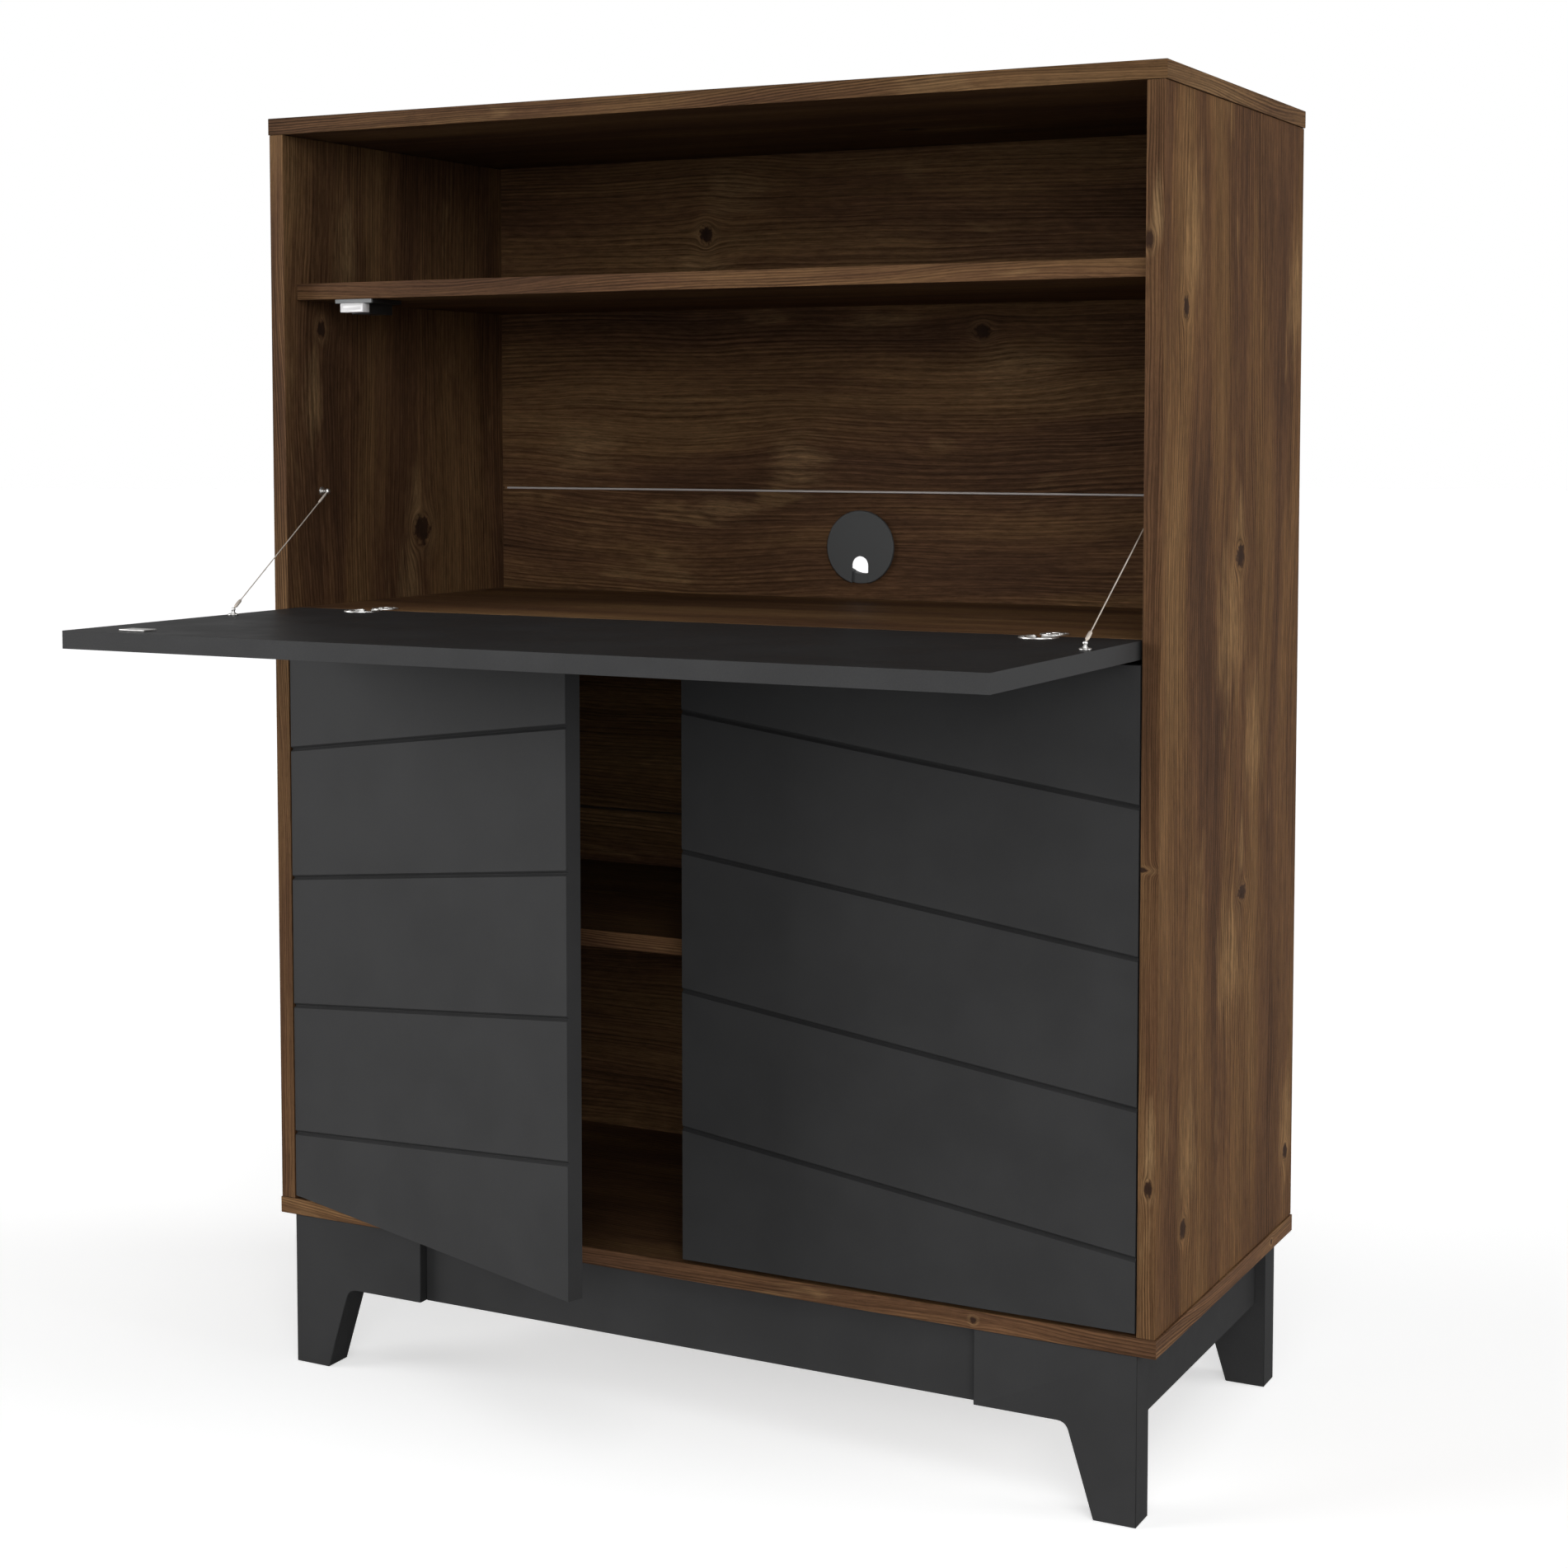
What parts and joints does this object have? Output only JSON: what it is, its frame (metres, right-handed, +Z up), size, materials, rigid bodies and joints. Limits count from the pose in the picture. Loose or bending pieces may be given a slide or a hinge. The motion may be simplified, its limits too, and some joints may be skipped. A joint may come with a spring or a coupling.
{
  "type": "secretary desk",
  "caption": "Tall wooden secretary desk with a drop-front writing flap on cable stays, an open shelf, hinged cupboard doors and bracket feet.",
  "frame": {"origin": "on the floor, at the centre of the desk's outline with the flap down", "axes": "+X to the desk's right as seen from the front, +Y from the front to the back, +Z up"},
  "size_m": [0.92, 0.725, 1.237],
  "materials": {
    "walnut_laminate": "satin wood-grain laminate",
    "back_board": "satin wood-grain laminate on hardboard",
    "black_laminate": "matt black laminate",
    "nickel_steel": "nickel-plated steel",
    "grey_plastic": "matt grey plastic",
    "white_plastic": "satin white plastic",
    "dark_plastic": "matt dark grey plastic"
  },
  "bodies": {
    "cabinet": {"top_panel": "walnut_laminate", "bottom_panel": "walnut_laminate", "side_panel_left": "walnut_laminate", "side_panel_right": "walnut_laminate", "desk_deck": "walnut_laminate", "upper_shelf": "walnut_laminate", "lower_shelf": "walnut_laminate", "back_panel_lower": "back_board", "back_panel_middle": "back_board", "back_panel_upper": "back_board", "leg_front_left": "black_laminate", "leg_front_right": "black_laminate", "leg_rear_left": "black_laminate", "leg_rear_right": "black_laminate", "apron_front": "black_laminate", "apron_rear": "black_laminate", "apron_left": "black_laminate", "apron_right": "black_laminate", "back_joint_strip_lower": "nickel_steel", "back_joint_strip_upper": "nickel_steel", "door_hinge_arm_left_lower": "nickel_steel", "door_hinge_arm_left_upper": "nickel_steel", "door_hinge_arm_right_lower": "nickel_steel", "door_hinge_arm_right_upper": "nickel_steel", "flap_hinge_arm_left": "nickel_steel", "stay_cable_left": "nickel_steel", "stay_side_post_left": "nickel_steel", "flap_hinge_arm_right": "nickel_steel", "stay_cable_right": "nickel_steel", "stay_side_post_right": "nickel_steel", "flap_latch_housing": "grey_plastic", "door_latch_housing": "grey_plastic", "grommet_ring": "dark_plastic"},
    "flap": {"flap": "black_laminate", "flap_strike_plate": "nickel_steel", "flap_hinge_cup_left": "nickel_steel", "flap_hinge_pin_left": "nickel_steel", "stay_flap_post_left": "nickel_steel", "flap_hinge_cup_right": "nickel_steel", "flap_hinge_pin_right": "nickel_steel", "stay_flap_post_right": "nickel_steel"},
    "left_door": {"door_left": "black_laminate", "door_strike_plate_left": "nickel_steel", "door_hinge_cup_left_lower": "nickel_steel", "door_hinge_cup_left_upper": "nickel_steel"},
    "right_door": {"door_right": "black_laminate", "door_strike_plate_right": "nickel_steel", "door_hinge_cup_right_lower": "nickel_steel", "door_hinge_cup_right_upper": "nickel_steel"},
    "left_door_links": {"door_hinge_link_left_lower": "nickel_steel", "door_hinge_link_left_upper": "nickel_steel"},
    "right_door_links": {"door_hinge_link_right_lower": "nickel_steel", "door_hinge_link_right_upper": "nickel_steel"},
    "flap_latch_button": {"flap_latch_magnet": "white_plastic"},
    "left_latch_button": {"door_latch_magnet_left": "white_plastic"},
    "right_latch_button": {"door_latch_magnet_right": "white_plastic"},
    "grommet_cap": {"grommet_cap": "dark_plastic"}
  },
  "joints": [
    {"name": "flap_hinge", "type": "hinge", "parent": "cabinet", "child": "flap", "pos_m": [0, -0.0335, 0.75], "axis": [-1, 0, 0], "range_deg": [0, 90], "deforming": ["stay_cable_left", "stay_cable_right"]},
    {"name": "left_door_hinge", "type": "hinge", "parent": "cabinet", "child": "left_door", "pos_m": [-0.441, -0.0415, 0.454], "axis": [0, 0, -1], "range_deg": [-20, 90]},
    {"name": "right_door_hinge", "type": "hinge", "parent": "cabinet", "child": "right_door", "pos_m": [0.441, -0.0415, 0.454], "axis": [0, 0, 1], "range_deg": [0, 110]},
    {"name": "left_link_slide", "type": "slide", "parent": "cabinet", "child": "left_door_links", "axis": [0, -1, 0], "range_m": [-0.0043, 0.0188]},
    {"name": "right_link_slide", "type": "slide", "parent": "cabinet", "child": "right_door_links", "axis": [0, -1, 0], "range_m": [0, 0.0229]},
    {"name": "flap_latch_push", "type": "slide", "parent": "cabinet", "child": "flap_latch_button", "axis": [0, 1, 0], "range_m": [0, 0.003], "stiffness_N_per_m": 400},
    {"name": "left_latch_push", "type": "slide", "parent": "cabinet", "child": "left_latch_button", "axis": [0, 1, 0], "range_m": [0, 0.003], "stiffness_N_per_m": 400},
    {"name": "right_latch_push", "type": "slide", "parent": "cabinet", "child": "right_latch_button", "axis": [0, 1, 0], "range_m": [0, 0.003], "stiffness_N_per_m": 400},
    {"name": "grommet_cap_turn", "type": "hinge", "parent": "cabinet", "child": "grommet_cap", "pos_m": [0, 0.3445, 0.8118], "axis": [0, 1, 0], "continuous": true}
  ],
  "couplings": [
    {"joint": "left_link_slide", "follows": "left_door_hinge", "m_per_rad": 0.011876},
    {"joint": "right_link_slide", "follows": "right_door_hinge", "m_per_rad": 0.011876}
  ]
}
